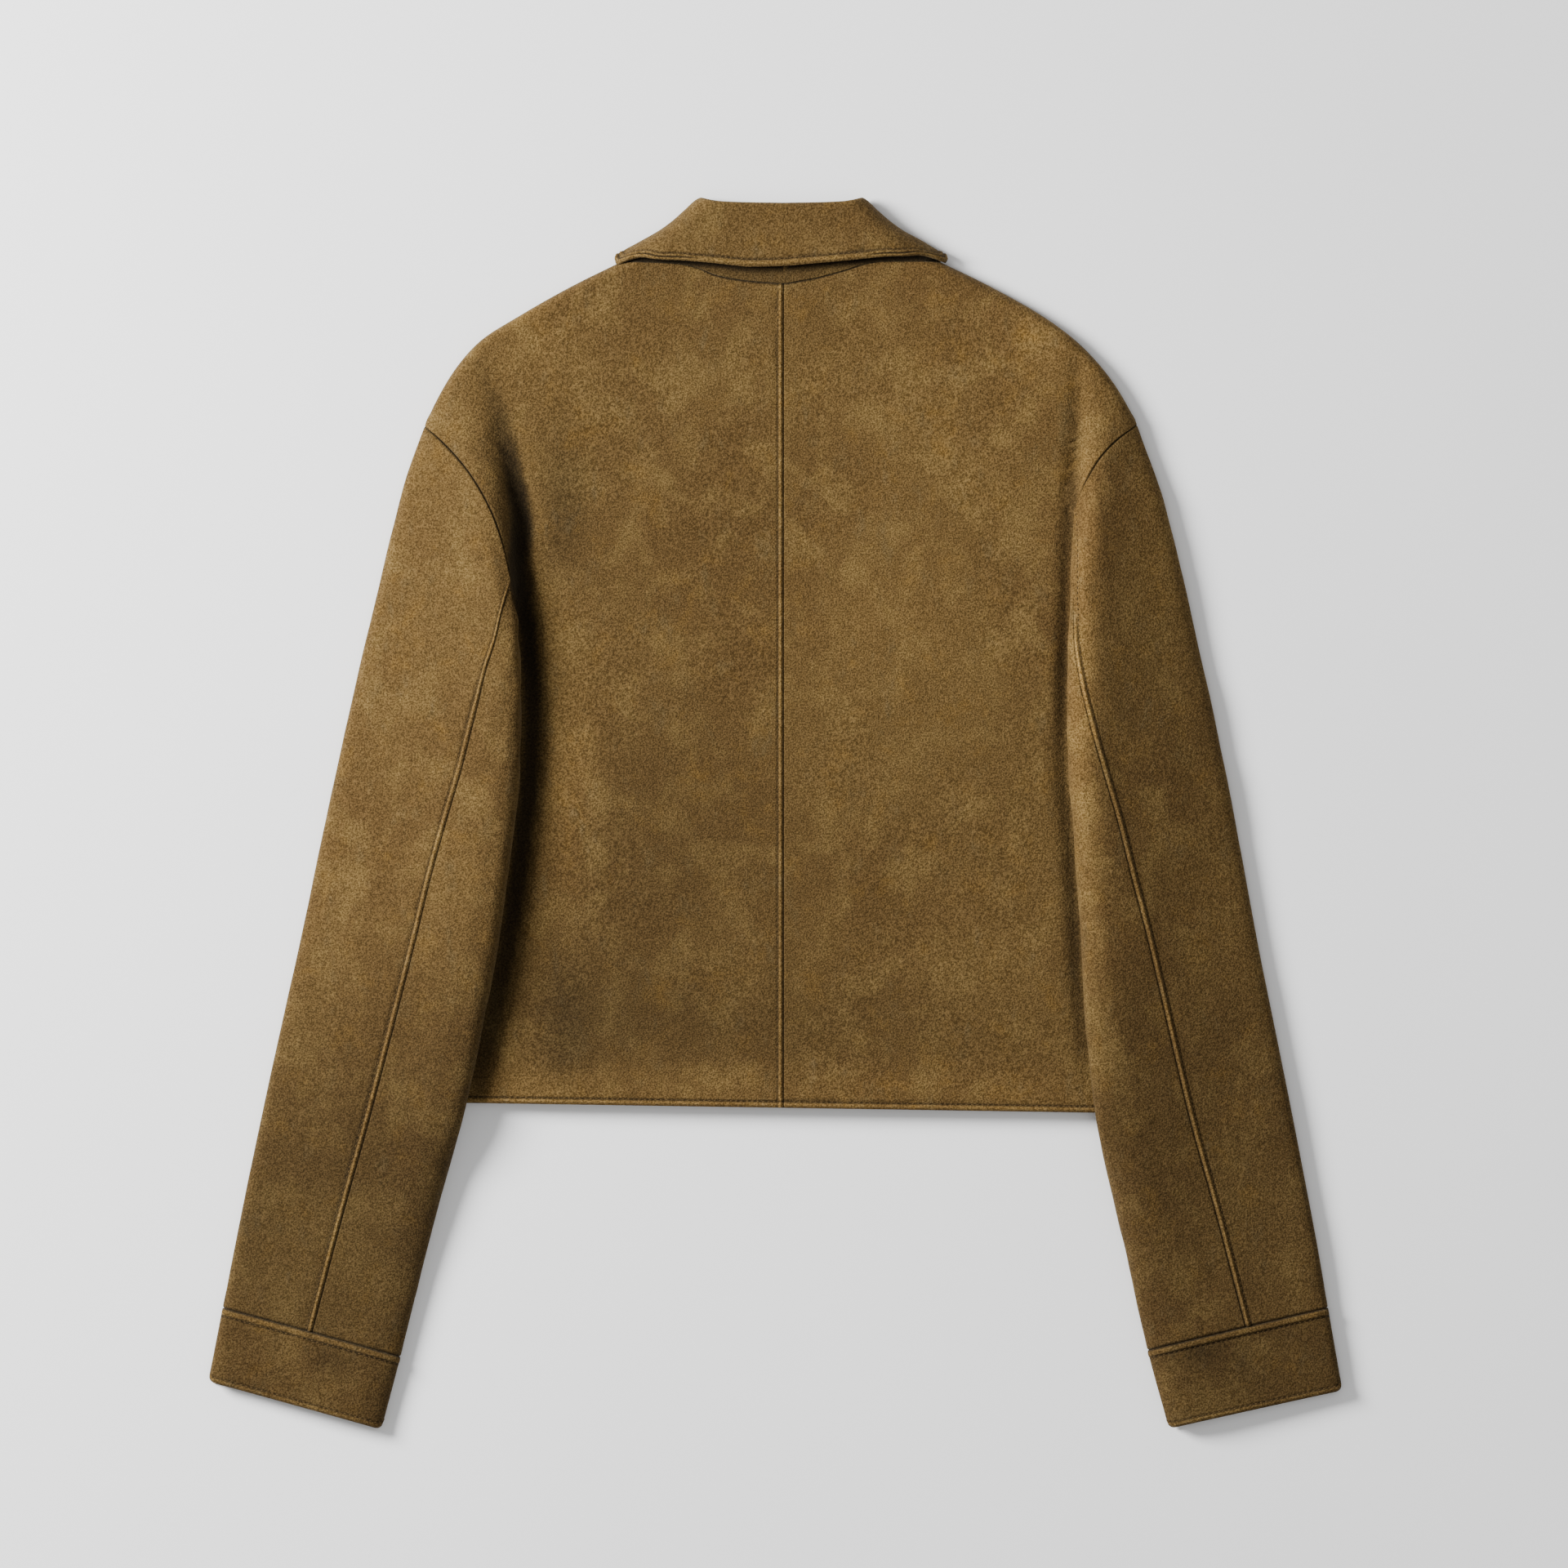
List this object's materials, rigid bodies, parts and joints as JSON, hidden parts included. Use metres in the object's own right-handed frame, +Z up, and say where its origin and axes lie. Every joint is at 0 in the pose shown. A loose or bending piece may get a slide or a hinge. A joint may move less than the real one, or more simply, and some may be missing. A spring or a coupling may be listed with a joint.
{
  "type": "suede jacket",
  "caption": "Cropped suede jacket laid flat with its back up, long cuffed sleeves folded down beside the body, and a turned-down collar.",
  "frame": {"origin": "middle of the bounding box, at the height of the surface that the jacket lies on", "axes": "+Y from hem to collar, +X to the right as seen from above with the collar away from the viewer, +Z up"},
  "size_m": [0.6946, 0.7544, 0.0333],
  "materials": {
    "suede": "napped suede, matt"
  },
  "bodies": {
    "root": {"back_left": "suede", "back_right": "suede", "front_left": "suede", "front_right": "suede", "sleeve_upper_left": "suede", "sleeve_upper_right": "suede", "sleeve_under_left": "suede", "sleeve_under_right": "suede", "cuff_left": "suede", "cuff_right": "suede", "collar_stand": "suede", "collar_fall": "suede"}
  },
  "joints": []
}
